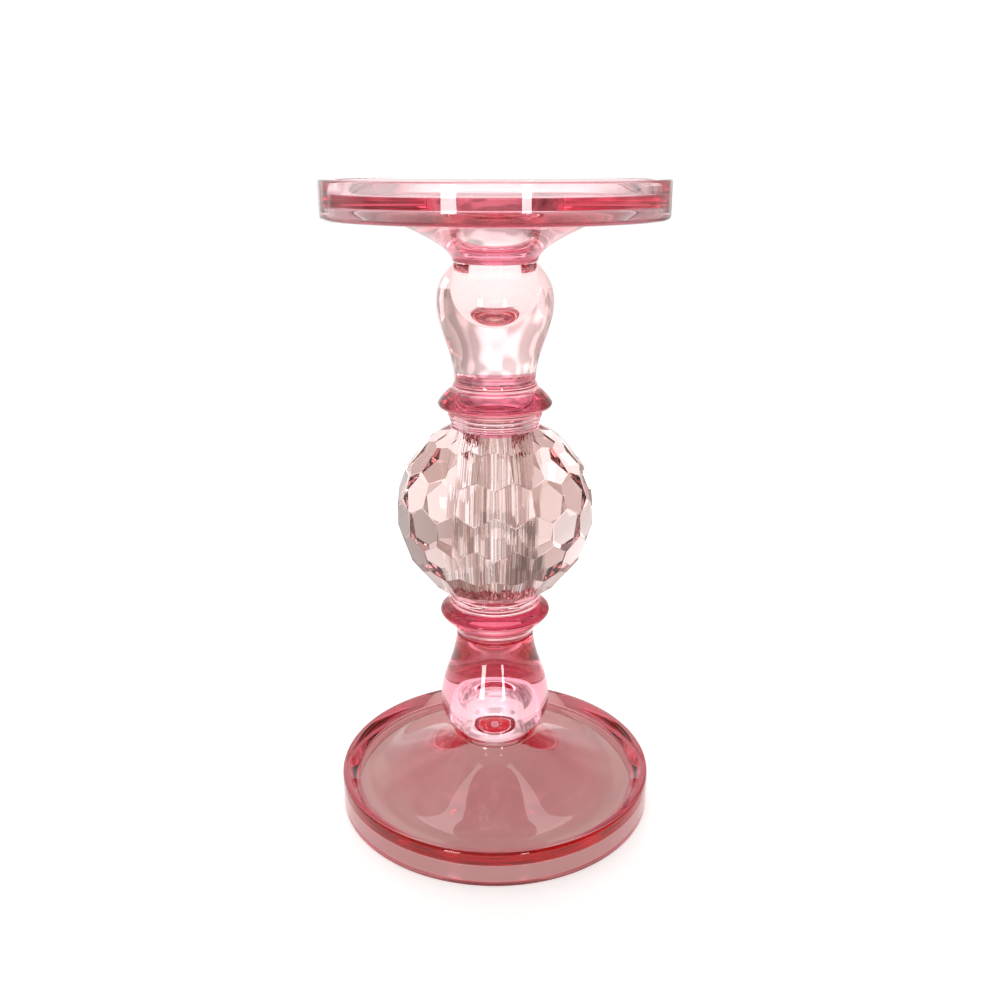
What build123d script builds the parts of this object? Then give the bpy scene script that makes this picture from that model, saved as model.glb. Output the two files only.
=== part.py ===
"""Pink glass candlestick, bonded from seven pressed and cut glass pieces.

The stem is mirrored about the middle of the faceted ball. Each piece is drawn once, as a half outline of
(radius, height above the ball's middle), turned about Z, and then moved up or mirrored down.
The origin is the middle of the base's underside, with Z up. Sizes are in millimetres.
"""
from build123d import *
import math
import os

# Driving dimensions
total_height = 197.0
plate_radius = 50.0
ball_flats_radius = 29.6  # from the ball's middle to the plane of any facet
bore_radius = 9.0  # the ball's bore, and the end of every other hollow
neck_radius = 12.6
bond_thickness = 0.2
edge_bevel = 0.4

# The stem, as heights above the ball's middle
middle = total_height / 2
ball_end = 26.5
ring_start = ball_end + bond_thickness
ring_end = 40.6
bulb_start = ring_end + bond_thickness
bulb_end = 75.2
neck_start = bulb_end + bond_thickness
plate_end = middle
socket_end = 77.4  # bottom of the hollow in each plate's neck

# Plates. The recess is the hollow on the outer face, and the groove is the one on the neck's side.
rim_width = 4.4
rim_round = 0.8
lip_round = 1.3
floor_round = 0.5
recess_draft = 0.4  # how much narrower a recess is at its floor than at its mouth
neck_rise = 3.75  # length of the neck's nearly straight part
knee_radius = 31.2  # the flare, level with the lip
knee_lead = (8.5, 3.6)  # how the flare comes to the knee
knee_run = (3.6, 1.5)  # how it goes on from there
flare_radius = 43.0  # where it meets the groove's floor
flare_ease = 4.5
socket_round = 2.0

dish_wall = 10.9
dish_recess = 4.1
dish_groove = 3.9
dish_lip_radius = 48.0  # inside of the lip
dish_groove_radius = 47.5
dish_mouth_radius = 13.5
dish_mouth_lead = (-0.5, 5.0)  # how the hollow's side leaves its mouth, out and down
dish_socket_lead = (1.3, 12.5)  # how it comes to the hollow's end

base_wall = 11.3
base_recess = 5.0
base_groove = 3.1
base_lip_radius = 47.9
base_groove_radius = 44.8
base_mouth_radius = 40.0
base_mouth_lead = (-18.0, 0.0)
base_socket_lead = (1.0, 9.4)

# Facets
facets_around = 16
facet_rows_each_side = 3
row_pitch_degrees = 19.5

# Ring, as radii and heights
collar_radius = 13.4
bead_step = 0.45  # how much wider each bead of the collar is than the one under it
bead_height = 1.35
bead_count = 3
bead_bulge = 0.3
ring_bore_end = 31.5
ring_bore_round = 1.0
nose_radius = 17.2
nose_height = 33.4
nose_low = (nose_radius - 0.5, nose_height - 0.9)
nose_high = (nose_radius - 0.4, nose_height + 1.0)

# Bulb, as radii and heights
bulb_foot_radius = 12.2
bulb_radius = 17.35
bulb_widest = 63.6
cavity_end = 58.0
seat_radius = bulb_foot_radius + 0.2  # the ring's end, just wider than the bulb's foot
shoulder_top = (neck_radius + 0.1, bulb_end - 0.6)


def line(*points):
    """The straight edges from each (radius, height) to the next."""
    return [Line(start, end) for start, end in zip(points, points[1:])]


def turned(edges):
    """The solid that a closed half outline makes when it is turned about Z."""
    outline = Plane.XZ * make_face(Wire(edges))
    return revolve(outline, Axis.Z)


def rounded(start, corner, end):
    """A quarter-round edge from start to end that leaves towards corner and arrives from it."""
    return Bezier(start, corner, end)


def moved_up(solid):
    """The piece over the ball, in the candlestick's own frame."""
    return Pos(0, 0, middle) * solid


def mirrored_down(solid):
    """The piece's twin under the ball, in the candlestick's own frame."""
    return Pos(0, 0, middle) * mirror(solid, Plane.XY)


def neck_and_flare(lip, groove_floor):
    """The neck's end, its side and the flare, out to the groove's floor."""
    neck_side = (neck_radius, neck_start + edge_bevel)
    knee = (knee_radius, lip)
    flare_end = (flare_radius, groove_floor)
    edges = line((0, neck_start), (neck_radius - edge_bevel, neck_start), neck_side)
    edges.append(
        Bezier(
            neck_side,
            (neck_radius + 0.1, neck_start + edge_bevel + neck_rise),
            (knee_radius - knee_lead[0], lip - knee_lead[1]),
            knee,
        )
    )
    edges.append(
        Bezier(
            knee,
            (knee_radius + knee_run[0], lip + knee_run[1]),
            (flare_radius - flare_ease, groove_floor),
            flare_end,
        )
    )
    return edges


def groove_and_lip(lip, groove_floor, lip_radius, groove_radius):
    """The groove's floor and outer wall, and the lip with its rounded outer edge."""
    floor_end = (groove_radius - floor_round, groove_floor)
    wall_start = (groove_radius, groove_floor - floor_round)
    edges = line((flare_radius, groove_floor), floor_end)
    edges.append(rounded(floor_end, (groove_radius, groove_floor), wall_start))
    edges += line(wall_start, (lip_radius, lip), (plate_radius - lip_round, lip))
    edges.append(rounded((plate_radius - lip_round, lip), (plate_radius, lip), (plate_radius, lip + lip_round)))
    return edges


def rim_and_recess(lip, floor, mouth_radius):
    """The plate's side, its rounded rim, the recess's wall and the recess's floor in to the mouth."""
    inner = plate_radius - rim_width
    foot = inner - recess_draft
    side_end = (plate_radius, plate_end - rim_round)
    edges = line((plate_radius, lip + lip_round), side_end)
    edges.append(rounded(side_end, (plate_radius, plate_end), (plate_radius - rim_round, plate_end)))
    edges += line((plate_radius - rim_round, plate_end), (inner + rim_round, plate_end))
    edges.append(rounded((inner + rim_round, plate_end), (inner, plate_end), (inner, plate_end - rim_round)))
    edges += line((inner, plate_end - rim_round), (foot, floor + floor_round))
    edges.append(rounded((foot, floor + floor_round), (foot, floor), (foot - floor_round, floor)))
    edges += line((foot - floor_round, floor), (mouth_radius, floor))
    return edges


def neck_hollow(floor, mouth_radius, mouth_lead, socket_lead):
    """The neck's hollow, from its mouth in the recess's floor down to its closed end."""
    mouth = (mouth_radius, floor)
    wall_end = (bore_radius, socket_end + socket_round)
    end_start = (bore_radius - socket_round, socket_end)
    leave = (mouth_radius + mouth_lead[0], floor - mouth_lead[1])
    arrive = (bore_radius + socket_lead[0], floor - socket_lead[1])
    return [
        Bezier(mouth, leave, arrive, wall_end),
        rounded(wall_end, (bore_radius, socket_end), end_start),
        Line(end_start, (0, socket_end)),
        Line((0, socket_end), (0, neck_start)),
    ]


def top_dish():
    """Dish with a raised rim, a groove under it, and a socket in its trumpet neck."""
    lip = plate_end - dish_wall
    floor = plate_end - dish_recess
    groove_floor = lip + dish_groove
    edges = neck_and_flare(lip, groove_floor)
    edges += groove_and_lip(lip, groove_floor, dish_lip_radius, dish_groove_radius)
    edges += rim_and_recess(lip, floor, dish_mouth_radius)
    edges += neck_hollow(floor, dish_mouth_radius, dish_mouth_lead, dish_socket_lead)
    return turned(edges)


def base_dish():
    """Base with a raised lip, a groove inside it, and a trumpet neck that is hollow from below."""
    lip = plate_end - base_wall
    floor = plate_end - base_recess
    groove_floor = lip + base_groove
    edges = neck_and_flare(lip, groove_floor)
    edges += groove_and_lip(lip, groove_floor, base_lip_radius, base_groove_radius)
    edges += rim_and_recess(lip, floor, base_mouth_radius)
    edges += neck_hollow(floor, base_mouth_radius, base_mouth_lead, base_socket_lead)
    return turned(edges)


def bulb():
    """Vase-shaped bulb with a round-ended cavity that opens at its top."""
    foot_top = (bulb_foot_radius, bulb_start + edge_bevel)
    widest = (bulb_radius, bulb_widest)
    edges = line((0, bulb_start), (bulb_foot_radius - edge_bevel, bulb_start), foot_top)
    edges.append(Bezier(foot_top, (bulb_foot_radius + 0.4, 50.0), (bulb_radius, 56.0), widest))
    edges.append(Bezier(widest, (bulb_radius, 69.0), (15.2, 71.6), shoulder_top))
    edges += line(shoulder_top, (neck_radius - edge_bevel, bulb_end), (bore_radius, bulb_end))
    dome_start = (bore_radius, cavity_end + bore_radius)
    dome_side = (bore_radius * math.sin(math.pi / 4), dome_start[1] - bore_radius * math.cos(math.pi / 4))
    edges += line((bore_radius, bulb_end), dome_start)
    edges.append(ThreePointArc(dome_start, dome_side, (0, cavity_end)))
    edges += line((0, cavity_end), (0, bulb_start))
    return turned(edges)


def ring():
    """Ring with a rounded nose over a collar of fine beads, and a blind bore from the ball's side."""
    bead_foot = collar_radius - bead_bulge
    bore_side = (bore_radius, ring_bore_end - ring_bore_round)
    bore_floor = (bore_radius - ring_bore_round, ring_bore_end)
    edges = line((0, ring_bore_end), bore_floor)
    edges.append(rounded(bore_floor, (bore_radius, ring_bore_end), bore_side))
    edges += line(bore_side, (bore_radius, ring_start), (bead_foot, ring_start))
    for bead in range(bead_count):
        low = ring_start + bead * bead_height
        high = low + bead_height
        radius = bead_foot + bead * bead_step
        edges.append(ThreePointArc((radius, low), (radius + bead_bulge, (low + high) / 2), (radius, high)))
        if bead < bead_count - 1:
            edges += line((radius, high), (radius + bead_step, high))
    slope_top = (bulb_foot_radius + 1.1, 38.0)
    seat_side = (seat_radius, ring_end - edge_bevel)
    edges.append(Bezier((radius, high), (radius + 0.3, 31.4), nose_low))
    edges.append(ThreePointArc(nose_low, (nose_radius, nose_height), nose_high))
    edges.append(Bezier(nose_high, (nose_radius - 1.6, 36.2), slope_top))
    edges.append(Bezier(slope_top, (bulb_foot_radius + 0.3, 39.0), seat_side))
    edges += line(seat_side, (seat_radius - edge_bevel, ring_end), (0, ring_end), (0, ring_bore_end))
    return turned(edges)


def faceted_ball():
    """Ball cut by flat facets in staggered rows, flat at both ends, with a bore from end to end."""
    ball = Cylinder(ball_flats_radius * 1.1, 2 * ball_end)
    for row in range(-facet_rows_each_side, facet_rows_each_side + 1):
        latitude = math.radians(row * row_pitch_degrees)
        for facet in range(facets_around):
            turn = 2 * math.pi * (facet + 0.5 * (row % 2)) / facets_around - math.pi / 2
            outward = Vector(
                math.cos(latitude) * math.cos(turn),
                math.cos(latitude) * math.sin(turn),
                math.sin(latitude),
            )
            ball = split(ball, bisect_by=Plane(outward * ball_flats_radius, z_dir=outward), keep=Keep.BOTTOM)
    return ball - Cylinder(bore_radius, 2 * ball_end)


def film(low, outer, inner=0.0):
    """Adhesive film, a thin disc, or a washer where the pieces that it joins are hollow."""
    disc = Pos(0, 0, low + bond_thickness / 2) * Cylinder(outer, bond_thickness)
    if inner:
        disc -= Pos(0, 0, low + bond_thickness / 2) * Cylinder(inner, bond_thickness)
    return disc


collar_bond = film(ball_end, collar_radius - bead_bulge, bore_radius)
ring_bond = film(ring_end, bulb_foot_radius - edge_bevel)
neck_bond = film(bulb_end, neck_radius - edge_bevel, bore_radius)

nodes = {
    "top_dish": moved_up(top_dish()),
    "upper_bulb": moved_up(bulb()),
    "upper_ring": moved_up(ring()),
    "faceted_ball": moved_up(faceted_ball()),
    "lower_ring": mirrored_down(ring()),
    "lower_bulb": mirrored_down(bulb()),
    "base_dish": mirrored_down(base_dish()),
    "bond_dish_bulb": moved_up(neck_bond),
    "bond_bulb_ring_upper": moved_up(ring_bond),
    "bond_ring_ball_upper": moved_up(collar_bond),
    "bond_ring_ball_lower": mirrored_down(collar_bond),
    "bond_ring_bulb_lower": mirrored_down(ring_bond),
    "bond_bulb_base": mirrored_down(neck_bond),
}

os.makedirs("parts", exist_ok=True)
for name, shape in nodes.items():
    export_step(shape, f"parts/{name}.step")
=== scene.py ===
"""Looks of the pink glass candlestick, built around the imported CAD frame. Sizes are in metres."""
import bmesh
import bpy
import math
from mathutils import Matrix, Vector, geometry, noise


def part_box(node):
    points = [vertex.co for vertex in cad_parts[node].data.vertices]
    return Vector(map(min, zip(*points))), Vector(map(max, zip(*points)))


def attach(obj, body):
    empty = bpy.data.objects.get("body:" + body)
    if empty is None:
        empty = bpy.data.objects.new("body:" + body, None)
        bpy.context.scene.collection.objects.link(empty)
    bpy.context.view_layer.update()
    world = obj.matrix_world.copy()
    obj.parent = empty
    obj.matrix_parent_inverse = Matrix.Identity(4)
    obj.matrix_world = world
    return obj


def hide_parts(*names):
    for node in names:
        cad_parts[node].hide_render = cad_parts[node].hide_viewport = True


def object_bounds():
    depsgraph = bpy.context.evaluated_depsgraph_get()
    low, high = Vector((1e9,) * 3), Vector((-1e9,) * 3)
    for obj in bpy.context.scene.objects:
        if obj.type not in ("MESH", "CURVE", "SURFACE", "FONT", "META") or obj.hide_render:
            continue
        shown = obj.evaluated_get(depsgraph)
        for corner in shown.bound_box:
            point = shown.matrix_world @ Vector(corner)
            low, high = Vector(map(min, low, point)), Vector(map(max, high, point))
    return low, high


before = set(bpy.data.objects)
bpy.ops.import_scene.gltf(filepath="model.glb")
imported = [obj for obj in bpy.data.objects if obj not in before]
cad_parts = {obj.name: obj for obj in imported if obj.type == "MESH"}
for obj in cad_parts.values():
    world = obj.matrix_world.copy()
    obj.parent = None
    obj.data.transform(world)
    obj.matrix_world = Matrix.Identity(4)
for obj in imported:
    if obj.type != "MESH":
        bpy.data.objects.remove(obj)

MM = 0.001
cad_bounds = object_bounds()

# ---------------------------------------------------------------- sizes that the frame gives
total_height = cad_bounds[1].z
middle = total_height / 2
dish_low, dish_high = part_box("top_dish")
bulb_low, bulb_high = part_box("upper_bulb")
ring_low, ring_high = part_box("upper_ring")
ball_low, ball_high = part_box("faceted_ball")

# ---------------------------------------------------------------- sizes that the frame doesn't show
PLATE_RADIUS = 50.0 * MM
RIM_WIDTH = 4.4 * MM
RIM_ROUND = 0.8 * MM
LIP_ROUND = 1.3 * MM
FLOOR_ROUND = 0.5 * MM
WALL_DRAFT = 0.4 * MM
BEVEL = 0.4 * MM

# A trumpet neck flares to the knee, level with the lip, and from there to the groove's floor. KNEE_LEAD and
# KNEE_RUN are the curves' handles at the knee: (across, up) before it and after it.
NECK_RADIUS = 12.6 * MM
NECK_TAPER = 0.1 * MM
NECK_RISE = 3.75 * MM
KNEE_RADIUS = 31.2 * MM
KNEE_LEAD = (8.5 * MM, 3.6 * MM)
KNEE_RUN = (3.6 * MM, 1.5 * MM)
FLARE_RADIUS = 43.0 * MM
FLARE_EASE = 4.5 * MM

# The recess is the hollow on the outer face and the groove the one on the neck's side. The groove's wall
# goes from lip_inner to groove_foot. The hollow neck opens from the recess's floor at the mouth, and its
# handles are (radius, depth under that floor).
DISH = {
    "wall": 10.9 * MM,
    "recess": 4.1 * MM,
    "groove": 3.9 * MM,
    "lip_inner": 48.0 * MM,
    "groove_foot": 47.5 * MM,
    "mouth": 13.5 * MM,
    "mouth_handle": (13.0 * MM, 5.0 * MM),
    "wall_handle": (10.3 * MM, 12.5 * MM),
}
BASE = {
    "wall": 11.3 * MM,
    "recess": 5.0 * MM,
    "groove": 3.1 * MM,
    "lip_inner": 47.9 * MM,
    "groove_foot": 44.8 * MM,
    "mouth": 40.0 * MM,
    "mouth_handle": (22.0 * MM, 0.0),
    "wall_handle": (10.0 * MM, 9.4 * MM),
}
BORE_RADIUS = 9.0 * MM
SOCKET_END = 77.4 * MM       # above the ball's middle
SOCKET_ROUND = 2.0 * MM

# The bulb's heights are above the ball's middle. The shoulder's handle is (radius, height), and its drop is
# how far it ends under the bulb's upper face.
BULB = {
    "foot": 12.2 * MM,
    "foot_taper": 0.4 * MM,
    "waist_handle": 50.0 * MM,
    "lower_handle": 56.0 * MM,
    "widest": 63.6 * MM,
    "upper_handle": 69.0 * MM,
    "shoulder_handle": (15.2 * MM, 71.6 * MM),
    "shoulder_drop": 0.6 * MM,
    "cavity_end": 58.0 * MM,
}
# The ring's side, from its collar over the nose to its seat. Each point is (past a radius, height above the
# ball's middle). The radius is the collar's at the waist, the nose's up to the slope's corner, and from
# slope_top on that of the bulb's foot.
RING = {
    "nose_radius": 17.2 * MM,
    "waist_corner": (0.3 * MM, 31.4 * MM),
    "nose_low": (-0.5 * MM, 32.5 * MM),
    "nose_corner": (0.5 * MM, 33.4 * MM),
    "nose_high": (-0.4 * MM, 34.4 * MM),
    "slope_corner": (-1.6 * MM, 36.2 * MM),
    "slope_top": (1.1 * MM, 38.0 * MM),
    "seat_corner": (0.3 * MM, 39.0 * MM),
    "seat_overhang": 0.2 * MM,
    "bore_end": 31.5 * MM,
    "bore_round": 1.0 * MM,
}
COLLAR_RADIUS = 13.4 * MM
BEAD_STEP = 0.45 * MM
BEAD_HEIGHT = 1.35 * MM
BEAD_COUNT = 3
BEAD_BULGE = 0.3 * MM
SEAM_GAP = 0.02 * MM         # air left between a bonded face and its film

FACETS_AROUND = 16
FACET_ROWS_EACH_SIDE = 3
ROW_PITCH = math.radians(19.5)
FACET_BEVEL = 0.12 * MM
FACET_ANGLE = math.radians(4)    # less than the turn from one facet to the next
BORE_COLUMNS = 180
BORE_OVERRUN = 2.0 * MM
STREAKS = ((9, 0.5, 0.10 * MM), (24, 4.5, 0.04 * MM))    # rate round the bore, noise level, depth

# The room that the glass sees, as light levels from -1 to 1 along each axis of the view direction
DEPTH_STOPS = (
    (-1.0, (0.30, 0.28, 0.27)),
    (0.0, (0.66, 0.62, 0.60)),
    (0.6, (0.94, 0.91, 0.89)),
    (0.85, (1.10, 1.08, 1.07)),
    (0.97, (1.16, 1.16, 1.16)),
)
SIDE_STOPS = (
    (-1.0, (0.85, 0.84, 0.83)),
    (-0.3, (1.06, 1.05, 1.04)),
    (0.1, (1.0, 1.0, 1.0)),
    (0.4, (0.62, 0.59, 0.58)),
    (0.75, (0.42, 0.40, 0.39)),
    (1.0, (0.75, 0.72, 0.70)),
)
HEIGHT_STOPS = (
    (-1.0, (1.0, 1.0, 1.0)),
    (0.1, (1.0, 1.0, 1.0)),
    (0.5, (0.72, 0.70, 0.69)),
    (1.0, (0.95, 0.93, 0.92)),
)

# Painted shade that each facet passes on, in place of the reflections that make cut facets differ, by the
# noise value of the way that it faces
FACET_SHADE_STOPS = (
    (0.38, (0.34, 0.23, 0.21)),
    (0.45, (0.58, 0.48, 0.44)),
    (0.485, (0.92, 0.87, 0.84)),
    (0.51, (1.0, 1.0, 1.0)),
)

PATCH_SCALE = 5.0
PATCH_NOISE = (0.42, 0.58)       # from the room's dark patches to its bright ones
PATCH_LEVELS = (0.80, 1.44)
CAMERA_WHITE = 1.02              # the plain background that the camera sees instead of the room

CAMERA_DISTANCE = 301.1 * MM
CAMERA_HEIGHT = 200.5 * MM
CAMERA_TILT = math.radians(15.3)
CAMERA_LENS = 37.23
CAMERA_SHIFT = -0.0493

FLOOR_RADIUS = 550.0 * MM
FLOOR_DROP = 0.05 * MM
FLOOR_COLOUR = (0.80, 0.795, 0.79)
FLOOR_ROUGHNESS = 0.25
FLOOR_GLOW = 0.56                # keeps the paper white in the shade of the glass

GLASS_IOR = 1.52
SMEAR_SCALE = 45.0
SMEAR_NOISE = (0.35, 0.75)
SMEAR_ROUGHNESS = (0.0, 0.02)
RIPPLE_SCALE = 60.0
CRISP_EDGE = 0.3 * MM
FADING_EDGE = 1.5 * MM
FACET_NOISE_SCALE = 4.3

LATHE_STEPS = 224            # columns of faces round a turned piece
CURVE_STEPS = 22
HALF_CURVE_STEPS = CURVE_STEPS // 2
ROUND_STEPS = 6
SMOOTH_ANGLE = math.radians(32)


# ---------------------------------------------------------------- outlines
def curve(start, handle_out, handle_in, end, steps=CURVE_STEPS):
    """Points along a cubic curve after its start, as (radius, height)."""
    ends = [Vector((*p, 0)) for p in (start, handle_out, handle_in, end)]
    points = geometry.interpolate_bezier(*ends, steps + 1)
    return [(p.x, p.y) for p in points[1:]]


def bend(start, corner, end, steps=ROUND_STEPS):
    """Points after start along the curve that leaves towards corner and arrives from it."""
    points = []
    for i in range(1, steps + 1):
        t = i / steps
        a, b, c = (1 - t) ** 2, 2 * t * (1 - t), t * t
        points.append(tuple(a * s + b * k + c * e for s, k, e in zip(start, corner, end)))
    return points


def past(radius, offset):
    """A point that far past the radius, at its height above the ball's middle."""
    return radius + offset[0], middle + offset[1]


def trumpet(start, lip, groove_floor):
    """The outside of a trumpet neck, from its face's bevel to the groove's floor."""
    neck, knee, flare_end = (NECK_RADIUS, start), (KNEE_RADIUS, lip), (FLARE_RADIUS, groove_floor)
    neck_handle = (NECK_RADIUS + NECK_TAPER, start + NECK_RISE)
    lead = (KNEE_RADIUS - KNEE_LEAD[0], lip - KNEE_LEAD[1])
    run = (KNEE_RADIUS + KNEE_RUN[0], lip + KNEE_RUN[1])
    flare_handle = (FLARE_RADIUS - FLARE_EASE, groove_floor)
    return [neck] + curve(neck, neck_handle, lead, knee) + curve(knee, run, flare_handle, flare_end)


def plate_outline(plate):
    """A plate on its trumpet neck: from the neck's face over lip and rim, and into the hollow neck."""
    start, end = dish_low.z - middle, dish_high.z - middle
    lip, floor = end - plate["wall"], end - plate["recess"]
    groove_floor = lip + plate["groove"]
    points = [(0, start), (NECK_RADIUS - BEVEL, start)]
    points += trumpet(start + BEVEL, lip, groove_floor)

    corner = (plate["groove_foot"], groove_floor)
    corner_start = (corner[0] - FLOOR_ROUND, groove_floor)
    points += [corner_start]
    points += bend(corner_start, corner, (corner[0], groove_floor - FLOOR_ROUND))
    lip_end = (PLATE_RADIUS - LIP_ROUND, lip)
    points += [(plate["lip_inner"], lip), lip_end]
    points += bend(lip_end, (PLATE_RADIUS, lip), (PLATE_RADIUS, lip + LIP_ROUND), HALF_CURVE_STEPS)

    rim_start = (PLATE_RADIUS, end - RIM_ROUND)
    points += [rim_start]
    points += bend(rim_start, (PLATE_RADIUS, end), (PLATE_RADIUS - RIM_ROUND, end))
    inner = PLATE_RADIUS - RIM_WIDTH
    rim_end = (inner + RIM_ROUND, end)
    points += [rim_end]
    points += bend(rim_end, (inner, end), (inner, end - RIM_ROUND))
    foot = (inner - WALL_DRAFT, floor)
    foot_start = (foot[0], floor + FLOOR_ROUND)
    points += [foot_start]
    points += bend(foot_start, foot, (foot[0] - FLOOR_ROUND, floor))

    mouth = (plate["mouth"], floor)
    handles = [(radius, floor - depth) for radius, depth in (plate["mouth_handle"], plate["wall_handle"])]
    wall_top = (BORE_RADIUS, SOCKET_END + SOCKET_ROUND)
    points += [mouth]
    points += curve(mouth, *handles, wall_top)
    points += bend(wall_top, (BORE_RADIUS, SOCKET_END), (BORE_RADIUS - SOCKET_ROUND, SOCKET_END))
    points += [(0, SOCKET_END)]
    return [(radius, middle + height) for radius, height in points]


def bulb_outline():
    """The upper bulb, from its foot round the outside and down into its cavity."""
    foot, end = bulb_low.z, bulb_high.z
    foot_top = (BULB["foot"], foot + BEVEL)
    waist_handle = (BULB["foot"] + BULB["foot_taper"], middle + BULB["waist_handle"])
    widest = (bulb_high.x, middle + BULB["widest"])
    lower_handle = (widest[0], middle + BULB["lower_handle"])
    upper_handle = (widest[0], middle + BULB["upper_handle"])
    shoulder_handle = past(0, BULB["shoulder_handle"])
    shoulder = (NECK_RADIUS + NECK_TAPER, end - BULB["shoulder_drop"])
    points = [(0, foot), (BULB["foot"] - BEVEL, foot), foot_top]
    points += curve(foot_top, waist_handle, lower_handle, widest)
    points += curve(widest, upper_handle, shoulder_handle, shoulder)
    points += [(NECK_RADIUS - BEVEL, end), (BORE_RADIUS, end)]
    cavity_end = middle + BULB["cavity_end"]
    for i in range(CURVE_STEPS):
        turn = math.pi / 2 * i / CURVE_STEPS
        points.append((BORE_RADIUS * math.cos(turn), cavity_end + BORE_RADIUS * (1 - math.sin(turn))))
    points.append((0, cavity_end))
    return points


def ring_outline():
    """The upper ring, from its bore's end and its collar on the ball to its seat under the bulb."""
    low, high = ring_low.z, ring_high.z
    bore_end = middle + RING["bore_end"]
    bore_floor = (BORE_RADIUS - RING["bore_round"], bore_end)
    points = [(0, bore_end), bore_floor]
    points += bend(bore_floor, (BORE_RADIUS, bore_end), (BORE_RADIUS, bore_end - RING["bore_round"]))
    points += [(BORE_RADIUS, low), (COLLAR_RADIUS - BEAD_BULGE, low)]
    level = low
    for bead in range(BEAD_COUNT):
        radius = COLLAR_RADIUS - BEAD_BULGE + bead * BEAD_STEP
        if bead:
            points.append((radius, level))
        corner = (radius + 2 * BEAD_BULGE, level + BEAD_HEIGHT / 2)
        points += bend((radius, level), corner, (radius, level + BEAD_HEIGHT))
        level += BEAD_HEIGHT
    nose_radius, foot = RING["nose_radius"], BULB["foot"]
    nose_low = past(nose_radius, RING["nose_low"])
    nose_high = past(nose_radius, RING["nose_high"])
    slope_top = past(foot, RING["slope_top"])
    seat = (foot + RING["seat_overhang"], high - BEVEL)
    points += bend((radius, level), past(radius, RING["waist_corner"]), nose_low, HALF_CURVE_STEPS)
    points += bend(nose_low, past(nose_radius, RING["nose_corner"]), nose_high, HALF_CURVE_STEPS)
    points += bend(nose_high, past(nose_radius, RING["slope_corner"]), slope_top, HALF_CURVE_STEPS)
    points += bend(slope_top, past(foot, RING["seat_corner"]), seat)
    points += [(seat[0] - BEVEL, high), (0, high)]
    return points


def film_outline(low, high, outer, inner):
    """An adhesive film: a washer, or a disc where inner is 0."""
    low, high = low + SEAM_GAP, high - SEAM_GAP
    return [(inner, low), (outer, low), (outer, high), (inner, high)]


def upside_down(outline):
    """The same outline mirrored about the ball's middle."""
    return [(radius, 2 * middle - height) for radius, height in outline]


# ---------------------------------------------------------------- meshes
def finished(name, mesh, node, material):
    """Adds an object of that mesh, which stands for its CAD node."""
    mesh.materials.append(material)
    piece = bpy.data.objects.new(name, mesh)
    bpy.context.scene.collection.objects.link(piece)
    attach(piece, "root")
    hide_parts(node)


def turned_mesh(name, outline, closed):
    """A mesh of the outline turned about Z. Its ends lie on the axis, unless it is closed."""
    verts = []
    rings = []
    for radius, height in outline:
        if radius < 1e-7:
            rings.append([len(verts)])
            verts.append((0, 0, height))
            continue
        ring = []
        for i in range(LATHE_STEPS):
            turn = 2 * math.pi * i / LATHE_STEPS
            ring.append(len(verts))
            verts.append((radius * math.cos(turn), radius * math.sin(turn), height))
        rings.append(ring)
    if closed:
        rings.append(rings[0])
    faces = []
    for low, high in zip(rings, rings[1:]):
        for i in range(LATHE_STEPS):
            j = (i + 1) % LATHE_STEPS
            if len(low) == 1:
                faces.append((low[0], high[j], high[i]))
            elif len(high) == 1:
                faces.append((low[i], low[j], high[0]))
            else:
                faces.append((low[i], low[j], high[j], high[i]))
    mesh = bpy.data.meshes.new(name)
    mesh.from_pydata(verts, [], faces)
    bm = bmesh.new()
    bm.from_mesh(mesh)
    bmesh.ops.recalc_face_normals(bm, faces=bm.faces)
    bm.to_mesh(mesh)
    bm.free()
    mesh.shade_smooth()
    mesh.set_sharp_from_angle(angle=SMOOTH_ANGLE)
    return mesh


def turned(name, outline, node, material, closed=False):
    """Adds a turned piece, which stands for its CAD node."""
    finished(name, turned_mesh(name, outline, closed), node, material)


def film(seam, outline, material):
    """Adds the adhesive film of that seam. One whose outline keeps off the axis is a closed washer."""
    turned("film_" + seam, outline, "bond_" + seam, material, closed=outline[0][0] > 0)


def cut_flat(bm, point, outward):
    """Cuts away what lies beyond a plane, and closes the cut with one face."""
    whole = bm.verts[:] + bm.edges[:] + bm.faces[:]
    bmesh.ops.bisect_plane(bm, geom=whole, plane_co=point, plane_no=outward, clear_outer=True, dist=1e-6)
    edges = [e for e in bm.edges if e.is_boundary]
    if edges:
        bmesh.ops.contextual_create(bm, geom=edges)


def faceted_mesh(name):
    """The cut ball without its bore."""
    flats_radius = ball_high.y
    centre = Vector((0, 0, middle))
    bm = bmesh.new()
    bmesh.ops.create_cube(bm, size=4 * flats_radius)
    bmesh.ops.translate(bm, verts=bm.verts, vec=centre)
    for row in range(-FACET_ROWS_EACH_SIDE, FACET_ROWS_EACH_SIDE + 1):
        latitude = row * ROW_PITCH
        for facet in range(FACETS_AROUND):
            turn = 2 * math.pi * (facet + 0.5 * (row % 2)) / FACETS_AROUND - math.pi / 2
            flat = math.cos(latitude)
            outward = Vector((flat * math.cos(turn), flat * math.sin(turn), math.sin(latitude)))
            cut_flat(bm, centre + outward * flats_radius, outward)
    cut_flat(bm, Vector((0, 0, ball_high.z)), Vector((0, 0, 1)))
    cut_flat(bm, Vector((0, 0, ball_low.z)), Vector((0, 0, -1)))
    bmesh.ops.recalc_face_normals(bm, faces=bm.faces)
    mesh = bpy.data.meshes.new(name)
    bm.to_mesh(mesh)
    bm.free()
    return mesh


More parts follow.
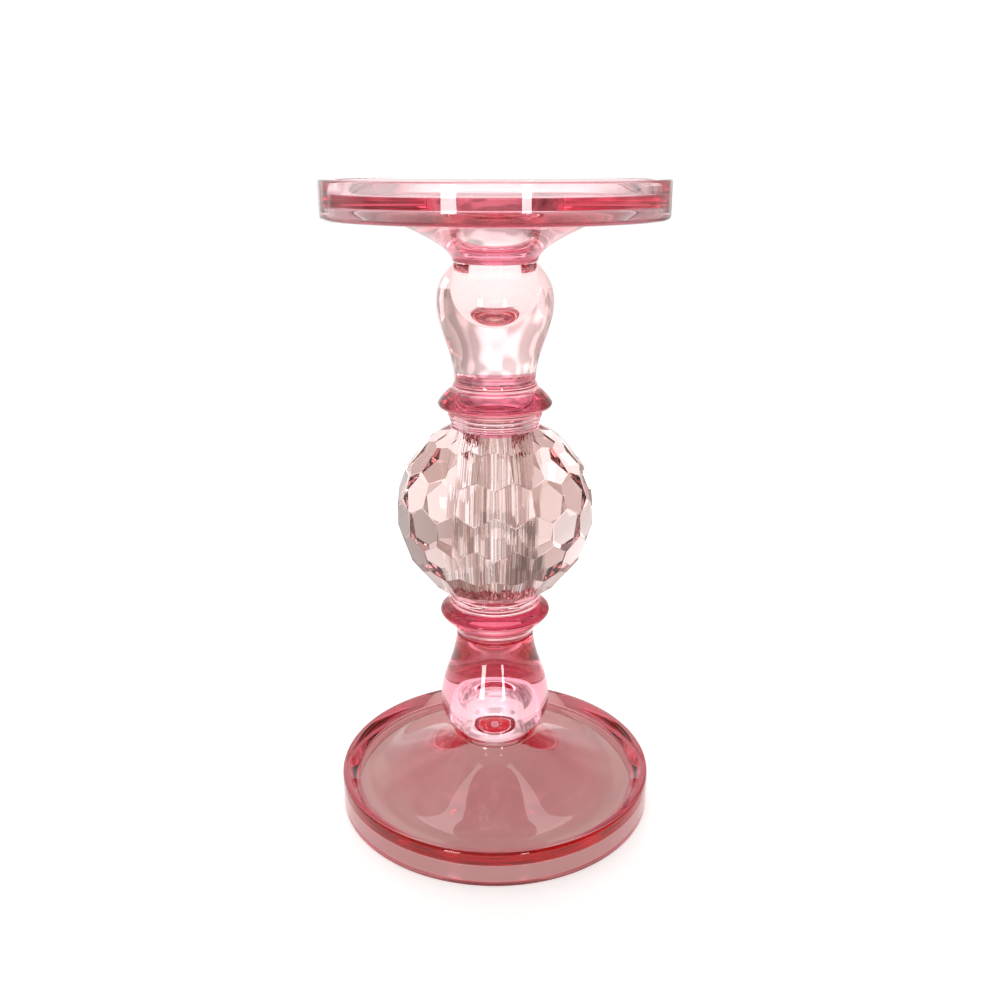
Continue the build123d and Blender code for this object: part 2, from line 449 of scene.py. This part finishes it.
def bore_mesh(name):
    """A drill core for the bore, with the long streaks that grinding leaves in its wall."""
    verts = []
    for height in (ball_low.z - BORE_OVERRUN, ball_high.z + BORE_OVERRUN):
        for i in range(BORE_COLUMNS):
            turn = 2 * math.pi * i / BORE_COLUMNS
            radius = BORE_RADIUS
            for rate, level, depth in STREAKS:
                radius += depth * noise.noise(Vector((rate * math.cos(turn), rate * math.sin(turn), level)))
            verts.append((radius * math.cos(turn), radius * math.sin(turn), height))
    faces = []
    for i in range(BORE_COLUMNS):
        j = (i + 1) % BORE_COLUMNS
        faces.append((i, j, BORE_COLUMNS + j, BORE_COLUMNS + i))
    faces += [tuple(range(BORE_COLUMNS))[::-1], tuple(range(BORE_COLUMNS, 2 * BORE_COLUMNS))]
    mesh = bpy.data.meshes.new(name)
    mesh.from_pydata(verts, [], faces)
    return mesh


def bored_ball(material):
    """Adds the cut ball, with its bore drilled out and a fine bevel on the facets' edges."""
    ball = bpy.data.objects.new("cut_ball_blank", faceted_mesh("cut_ball"))
    core = bpy.data.objects.new("bore_core", bore_mesh("bore_core"))
    for o in (ball, core):
        bpy.context.scene.collection.objects.link(o)
    bevel = ball.modifiers.new("edges", "BEVEL")
    bevel.width = FACET_BEVEL
    bevel.segments = 1
    bevel.limit_method = "ANGLE"
    bevel.angle_limit = FACET_ANGLE
    drill = ball.modifiers.new("bore", "BOOLEAN")
    drill.operation = "DIFFERENCE"
    drill.solver = "EXACT"
    drill.object = core
    evaluated = ball.evaluated_get(bpy.context.evaluated_depsgraph_get())
    mesh = bpy.data.meshes.new_from_object(evaluated)
    mesh.name = "cut_ball"
    bpy.data.objects.remove(ball)
    bpy.data.objects.remove(core)
    finished("cut_ball", mesh, "faceted_ball", material)


# ---------------------------------------------------------------- materials
def within(nodes, links, value, low, high, soft):
    """A factor that is 1 where the value lies between low and high, with soft ends."""
    sides = []
    for start, end in ((low - soft, low + soft), (high + soft, high - soft)):
        side = nodes.new("ShaderNodeMapRange")
        side.interpolation_type = "SMOOTHSTEP"
        side.inputs["From Min"].default_value = start
        side.inputs["From Max"].default_value = end
        links.new(value, side.inputs["Value"])
        sides.append(side.outputs["Result"])
    return times(nodes, links, *sides)


def times(nodes, links, first, second):
    """The product of two factors."""
    node = nodes.new("ShaderNodeMath")
    node.operation = "MULTIPLY"
    links.new(first, node.inputs[0])
    links.new(second, node.inputs[1])
    return node.outputs["Value"]


# Painted light and shade: deep-pink and crimson tints laid on the glass by height and radius
def paint_light_and_shade(material, zones, soft=CRISP_EDGE):
    """Paints zones of light and shade over the colour so far, each as (lowest, highest, inner radius, outer
    radius, colour): painted tints in place of light that runs inside the glass.
    """
    nodes, links = material.node_tree.nodes, material.node_tree.links
    surface = nodes["Principled BSDF"]
    place = nodes.new("ShaderNodeTexCoord")
    split = nodes.new("ShaderNodeSeparateXYZ")
    flat = nodes.new("ShaderNodeVectorMath")
    flat.operation = "MULTIPLY"
    flat.inputs[1].default_value = (1, 1, 0)
    radius = nodes.new("ShaderNodeVectorMath")
    radius.operation = "LENGTH"
    links.new(place.outputs["Object"], split.inputs["Vector"])
    links.new(place.outputs["Object"], flat.inputs[0])
    links.new(flat.outputs["Vector"], radius.inputs[0])
    earlier = surface.inputs["Base Color"].links
    colour = earlier[0].from_socket if earlier else None
    for low, high, inner, outer, tint in zones:
        mix = nodes.new("ShaderNodeMix")
        mix.data_type = "RGBA"
        mix.inputs["A"].default_value = surface.inputs["Base Color"].default_value
        mix.inputs["B"].default_value = (*tint, 1)
        if colour:
            links.new(colour, mix.inputs["A"])
        in_height = within(nodes, links, split.outputs["Z"], low, high, soft)
        in_radius = within(nodes, links, radius.outputs["Value"], inner, outer, soft)
        links.new(times(nodes, links, in_height, in_radius), mix.inputs["Factor"])
        colour = mix.outputs["Result"]
    links.new(colour, surface.inputs["Base Color"])


def glass(name, loss, tint=(1, 1, 1), ripple=0.02 * MM):
    """Glass that takes loss (red, green, blue, per metre) from light inside it, and tint at its surface."""
    material = bpy.data.materials.new(name)
    material.use_nodes = True
    nodes, links = material.node_tree.nodes, material.node_tree.links
    surface = nodes["Principled BSDF"]
    surface.inputs["Base Color"].default_value = (*tint, 1)
    surface.inputs["Transmission Weight"].default_value = 1.0
    surface.inputs["IOR"].default_value = GLASS_IOR
    place = nodes.new("ShaderNodeTexCoord")
    smear = nodes.new("ShaderNodeTexNoise")
    smear.inputs["Scale"].default_value = SMEAR_SCALE
    smear.inputs["Detail"].default_value = 3.0
    to_rough = nodes.new("ShaderNodeMapRange")
    to_rough.inputs["From Min"].default_value = SMEAR_NOISE[0]
    to_rough.inputs["From Max"].default_value = SMEAR_NOISE[1]
    to_rough.inputs["To Min"].default_value = SMEAR_ROUGHNESS[0]
    to_rough.inputs["To Max"].default_value = SMEAR_ROUGHNESS[1]
    links.new(place.outputs["Object"], smear.inputs["Vector"])
    links.new(smear.outputs["Fac"], to_rough.inputs["Value"])
    links.new(to_rough.outputs["Result"], surface.inputs["Roughness"])
    if ripple:
        wave = nodes.new("ShaderNodeTexNoise")
        wave.inputs["Scale"].default_value = RIPPLE_SCALE
        wave.inputs["Detail"].default_value = 1.0
        bump = nodes.new("ShaderNodeBump")
        bump.inputs["Strength"].default_value = 1.0
        bump.inputs["Distance"].default_value = ripple
        links.new(place.outputs["Object"], wave.inputs["Vector"])
        links.new(wave.outputs["Fac"], bump.inputs["Height"])
        links.new(bump.outputs["Normal"], surface.inputs["Normal"])
    density = max(loss) * 1.05       # a little over the strongest loss, so that each colour stays above 0
    inside = nodes.new("ShaderNodeVolumeAbsorption")
    inside.inputs["Color"].default_value = (*[1 - part / density for part in loss], 1)
    inside.inputs["Density"].default_value = density
    links.new(inside.outputs["Volume"], nodes["Material Output"].inputs["Volume"])
    return material


def paint_facet_shade(material):
    """Paints each facet its own shade, taken from the way that it faces, in place of the reflections that
    make real facets differ.
    """
    nodes, links = material.node_tree.nodes, material.node_tree.links
    facing = nodes.new("ShaderNodeTexCoord")
    facet_shade_noise = nodes.new("ShaderNodeTexNoise")
    facet_shade_noise.inputs["Scale"].default_value = FACET_NOISE_SCALE
    facet_shade_noise.inputs["Detail"].default_value = 0.0
    ramp_node = nodes.new("ShaderNodeValToRGB")
    ramp = ramp_node.color_ramp
    for _ in FACET_SHADE_STOPS[2:]:
        ramp.elements.new(0.5)
    for element, (position, colour) in zip(ramp.elements, FACET_SHADE_STOPS):
        element.position = position
        element.color = (*colour, 1)
    links.new(facing.outputs["Normal"], facet_shade_noise.inputs["Vector"])
    links.new(facet_shade_noise.outputs["Fac"], ramp_node.inputs["Fac"])
    links.new(ramp_node.outputs["Color"], nodes["Principled BSDF"].inputs["Base Color"])


def both_ways(low, high, inner, outer, tint):
    """Zones of painted light and shade on an upper piece and on its mirrored twin, from heights above the
    ball's middle.
    """
    return (
        (middle + low, middle + high, inner, outer, tint),
        (middle - high, middle - low, inner, outer, tint),
    )


def make_dish_glass():
    """Pale glass with painted deep-pink shade where light runs far inside the glass: in the groove and its
    wall, at the lip's edge and at the neck's foot, and paler over the flare.
    """
    material = glass("dish_glass", (2.0, 21.0, 17.5))
    lip = total_height - DISH["wall"]
    groove_floor = lip + DISH["groove"]
    recess_floor = total_height - DISH["recess"]
    # Painted pink shade with soft edges, over the flare and in the groove, where light runs far inside the
    # glass
    fading = (
        (dish_low.z + 8 * MM, lip + 1.5 * MM, 14 * MM, 36 * MM, (0.90, 0.66, 0.70)),
        (lip - 1 * MM, groove_floor + 1 * MM, 26 * MM, 47 * MM, (0.68, 0.24, 0.32)),
    )
    # Painted deep-pink shade with crisp edges: at the neck's foot, the lip's edge, the groove's wall and
    # the rim's outer side
    crisp = (
        (dish_low.z, dish_low.z + 4.5 * MM, 10 * MM, 20 * MM, (0.66, 0.24, 0.34)),
        (lip - 1 * MM, lip + 1.1 * MM, 47 * MM, 51 * MM, (0.58, 0.17, 0.24)),
        (lip + 1 * MM, groove_floor, 46.9 * MM, 48.6 * MM, (0.70, 0.44, 0.48)),
        (groove_floor, recess_floor, 49.5 * MM, 51 * MM, (0.66, 0.36, 0.43)),
    )
    paint_light_and_shade(material, fading, FADING_EDGE)
    paint_light_and_shade(material, crisp)
    return material


def make_upper_stem_glass():
    """Nearly clear glass, with painted deep pink at its seam with the ring, in place of the ring's crimson
    light seen through that seam.
    """
    material = glass("upper_stem_glass", (1.0, 13.5, 13.0))
    # Painted deep-pink light of the ring, at the bulb's foot
    paint_light_and_shade(material, ((middle + 40.4 * MM, middle + 42.4 * MM, 8 * MM, 19 * MM, (0.62, 0.18, 0.28)),))
    return material


def make_ring_glass():
    """Pink glass with painted crimson shade, in place of light held in the rings by total reflection: above
    the upper ring's nose, and on the lower ring's upper side.
    """
    material = glass("ring_glass", (1.0, 17.0, 15.0))
    # Painted crimson shade of light trapped in the rings
    crimson = (
        (middle + 33.3 * MM, middle + 37.6 * MM, 12 * MM, 19 * MM, (0.55, 0.06, 0.13)),
        (middle - 34.0 * MM, middle - 30.6 * MM, 12 * MM, 19 * MM, (0.62, 0.06, 0.14)),
    )
    # with a paler painted pink at each collar's foot, by the ball
    paint_light_and_shade(material, crimson + both_ways(26.0 * MM, 27.3 * MM, 11 * MM, 19 * MM, (0.72, 0.30, 0.38)))
    return material


def make_ball_glass():
    """Almost colourless glass, with painted shade that differs from facet to facet in place of their
    reflections, and painted crimson where it meets the rings, in place of the rings' light seen in its
    ends.
    """
    material = glass("ball_glass", (0.5, 4.2, 4.2), ripple=0)
    # Painted shade per facet, in place of their differing reflections
    paint_facet_shade(material)
    end = ball_high.z - middle
    # Painted crimson light of the rings, at the ball's end faces round the bore
    paint_light_and_shade(material, both_ways(end - 4 * MM, end + 1 * MM, 8 * MM, 13.5 * MM, (0.62, 0.10, 0.20)))
    return material


# ---------------------------------------------------------------- stage
def make_camera():
    """The view: a little above the dish, close, with the lens aimed low."""
    data = bpy.data.cameras.new("camera")
    camera = bpy.data.objects.new("camera", data)
    bpy.context.scene.collection.objects.link(camera)
    camera.location = (0, -CAMERA_DISTANCE, CAMERA_HEIGHT)
    camera.rotation_euler = (math.pi / 2 - CAMERA_TILT, 0, 0)
    data.sensor_width = 36
    data.lens = CAMERA_LENS
    data.shift_y = CAMERA_SHIFT
    data.clip_start = 0.01
    bpy.context.scene.camera = camera


def make_floor():
    """White paper under the base."""
    bpy.ops.mesh.primitive_circle_add(
        vertices=96, radius=FLOOR_RADIUS, fill_type="NGON", location=(0, 0, -FLOOR_DROP)
    )
    floor = bpy.context.object
    floor.name = "floor"
    material = bpy.data.materials.new("floor_paper")
    material.use_nodes = True
    surface = material.node_tree.nodes["Principled BSDF"]
    surface.inputs["Base Color"].default_value = (*FLOOR_COLOUR, 1)
    surface.inputs["Roughness"].default_value = FLOOR_ROUGHNESS
    surface.inputs["Emission Color"].default_value = (1, 1, 1, 1)
    surface.inputs["Emission Strength"].default_value = FLOOR_GLOW
    floor.data.materials.append(material)


def make_world():
    """A plain white view, and the room that the glass sees: pale behind and darker on the right."""
    world = bpy.data.worlds.new("room")
    bpy.context.scene.world = world
    world.use_nodes = True
    nodes, links = world.node_tree.nodes, world.node_tree.links
    back = nodes["Background"]
    place = nodes.new("ShaderNodeTexCoord")
    split = nodes.new("ShaderNodeSeparateXYZ")
    links.new(place.outputs["Generated"], split.inputs["Vector"])

    def ramp_along(axis, stops):
        """Colour stops from -1 to 1 along one axis of the view direction."""
        to_unit = nodes.new("ShaderNodeMapRange")
        to_unit.inputs["From Min"].default_value = -1.0
        node = nodes.new("ShaderNodeValToRGB")
        ramp = node.color_ramp
        for _ in stops[2:]:
            ramp.elements.new(0.5)
        for element, (position, colour) in zip(ramp.elements, stops):
            element.position = (position + 1) / 2
            element.color = (*colour, 1)
        links.new(split.outputs[axis], to_unit.inputs["Value"])
        links.new(to_unit.outputs["Result"], node.inputs["Fac"])
        return node.outputs["Color"]

    def product(first, second):
        """Two colours or levels multiplied."""
        node = nodes.new("ShaderNodeVectorMath")
        node.operation = "MULTIPLY"
        links.new(first, node.inputs[0])
        links.new(second, node.inputs[1])
        return node.outputs["Vector"]

    depth = ramp_along("Y", DEPTH_STOPS)
    side = ramp_along("X", SIDE_STOPS)
    height = ramp_along("Z", HEIGHT_STOPS)
    patches = nodes.new("ShaderNodeTexNoise")
    patches.inputs["Scale"].default_value = PATCH_SCALE
    patches.inputs["Detail"].default_value = 0.0
    links.new(place.outputs["Generated"], patches.inputs["Vector"])
    patch_level = nodes.new("ShaderNodeMapRange")
    patch_level.inputs["From Min"].default_value = PATCH_NOISE[0]
    patch_level.inputs["From Max"].default_value = PATCH_NOISE[1]
    patch_level.inputs["To Min"].default_value = PATCH_LEVELS[0]
    patch_level.inputs["To Max"].default_value = PATCH_LEVELS[1]
    links.new(patches.outputs["Fac"], patch_level.inputs["Value"])
    room = product(product(product(depth, side), height), patch_level.outputs["Result"])
    ray = nodes.new("ShaderNodeLightPath")
    view = nodes.new("ShaderNodeMix")
    view.data_type = "RGBA"
    view.inputs["B"].default_value = (CAMERA_WHITE, CAMERA_WHITE, CAMERA_WHITE, 1)
    links.new(ray.outputs["Is Camera Ray"], view.inputs["Factor"])
    links.new(room, view.inputs["A"])
    links.new(view.outputs["Result"], back.inputs["Color"])


def make_light(name, azimuth, elevation, distance, width, height, power):
    """A soft lamp seen from the object in that direction. Azimuth 0 is the camera's side."""
    turn, rise = math.radians(azimuth), math.radians(elevation)
    data = bpy.data.lights.new(name, "AREA")
    data.shape = "RECTANGLE"
    data.size = width
    data.size_y = height
    data.energy = power
    lamp = bpy.data.objects.new(name, data)
    bpy.context.scene.collection.objects.link(lamp)
    away = Vector((math.sin(turn) * math.cos(rise), -math.cos(turn) * math.cos(rise), math.sin(rise)))
    aim = Vector((0, 0, middle))
    lamp.location = aim + away * distance
    lamp.rotation_euler = (-away).to_track_quat("-Z", "Y").to_euler()


# ---------------------------------------------------------------- the scene
make_camera()
make_floor()
make_world()
make_light("window_left", azimuth=-28, elevation=6.8, distance=2.0, width=0.34, height=0.53, power=9)
make_light("window_right", azimuth=19, elevation=6.8, distance=2.0, width=0.20, height=0.53, power=5.5)
make_light("overhead", azimuth=180, elevation=75, distance=1.6, width=1.2, height=1.2, power=9)

scene = bpy.context.scene
scene.view_settings.view_transform = "Standard"
# Light crosses many facets and seams on its way through
scene.cycles.max_bounces = 24
scene.cycles.transmission_bounces = 24
scene.cycles.glossy_bounces = 12
scene.cycles.volume_bounces = 0
scene.cycles.sample_clamp_indirect = 6.0

dish_glass = make_dish_glass()
upper_stem_glass = make_upper_stem_glass()
lower_stem_glass = glass("lower_stem_glass", (2.0, 34.0, 26.0))
ring_glass = make_ring_glass()
ball_glass = make_ball_glass()
# The base's surface tint is partly painted shade: its grey darkening stands in for the shade on the paper
# under the base, and its pink is the glass's own colour
base_glass = glass("base_glass", (3.0, 76.0, 56.0), (0.62, 0.48, 0.43))
film_glass = glass("adhesive_film", (0.5, 2.0, 2.0), ripple=0)

turned("dish", plate_outline(DISH), "top_dish", dish_glass)
turned("bulb_upper", bulb_outline(), "upper_bulb", upper_stem_glass)
turned("ring_upper", ring_outline(), "upper_ring", ring_glass)
bored_ball(ball_glass)
turned("ring_lower", upside_down(ring_outline()), "lower_ring", ring_glass)
turned("bulb_lower", upside_down(bulb_outline()), "lower_bulb", lower_stem_glass)
turned("base", upside_down(plate_outline(BASE)), "base_dish", base_glass)

# The films of the upper half, each with its twin's name: low and high face, outer and inner radius
collar_seat = COLLAR_RADIUS - BEAD_BULGE
films = (
    ("dish_bulb", "bulb_base", bulb_high.z, dish_low.z, NECK_RADIUS - BEVEL, BORE_RADIUS),
    ("bulb_ring_upper", "ring_bulb_lower", ring_high.z, bulb_low.z, BULB["foot"] - BEVEL, 0.0),
    ("ring_ball_upper", "ring_ball_lower", ball_high.z, ring_low.z, collar_seat, BORE_RADIUS),
)
for seam, _, *extent in films:
    film(seam, film_outline(*extent), film_glass)
for _, twin_seam, *extent in reversed(films):
    film(twin_seam, upside_down(film_outline(*extent)), film_glass)
